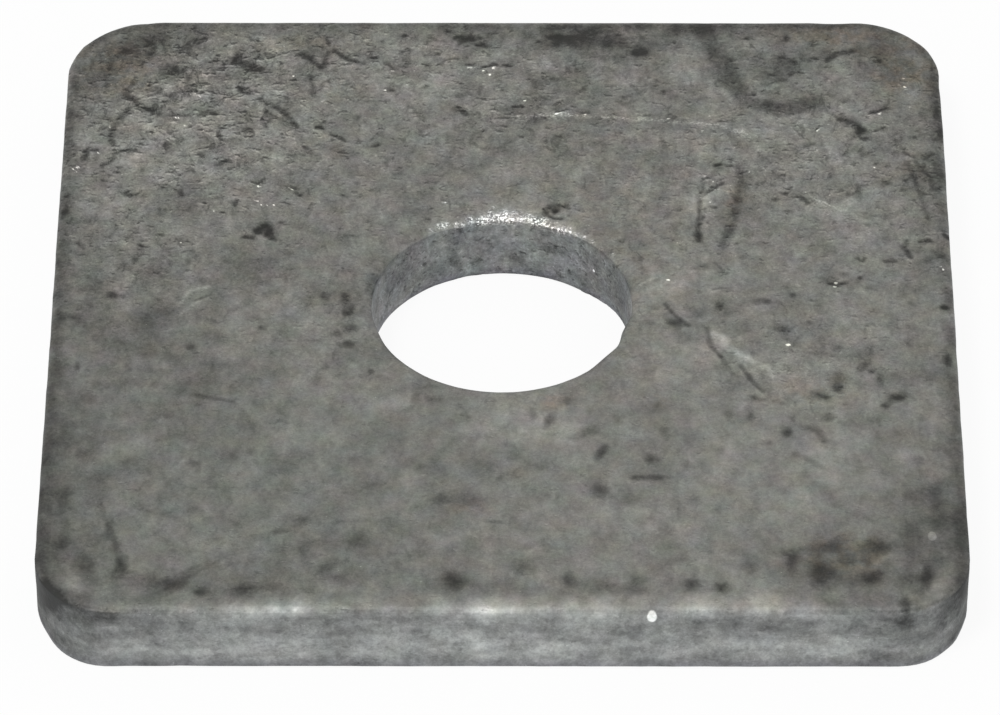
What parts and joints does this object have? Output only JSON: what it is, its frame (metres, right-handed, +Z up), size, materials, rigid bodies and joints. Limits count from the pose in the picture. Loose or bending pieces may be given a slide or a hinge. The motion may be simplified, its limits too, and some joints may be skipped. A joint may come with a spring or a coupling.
{
  "type": "square plate washer",
  "caption": "Square plate washer of galvanised steel with rounded corners and a round bolt hole through its middle.",
  "frame": {"origin": "middle of the underside, on the axis of the bolt hole", "axes": "+Z up through the bolt hole, +X to the right and +Y to the back, along the plate's sides"},
  "size_m": [0.0752, 0.0752, 0.0062],
  "materials": {
    "zinc": "hot-dip galvanised, dull mottled grey with fine pits"
  },
  "bodies": {
    "root": {"plate_washer": "zinc"}
  },
  "joints": []
}
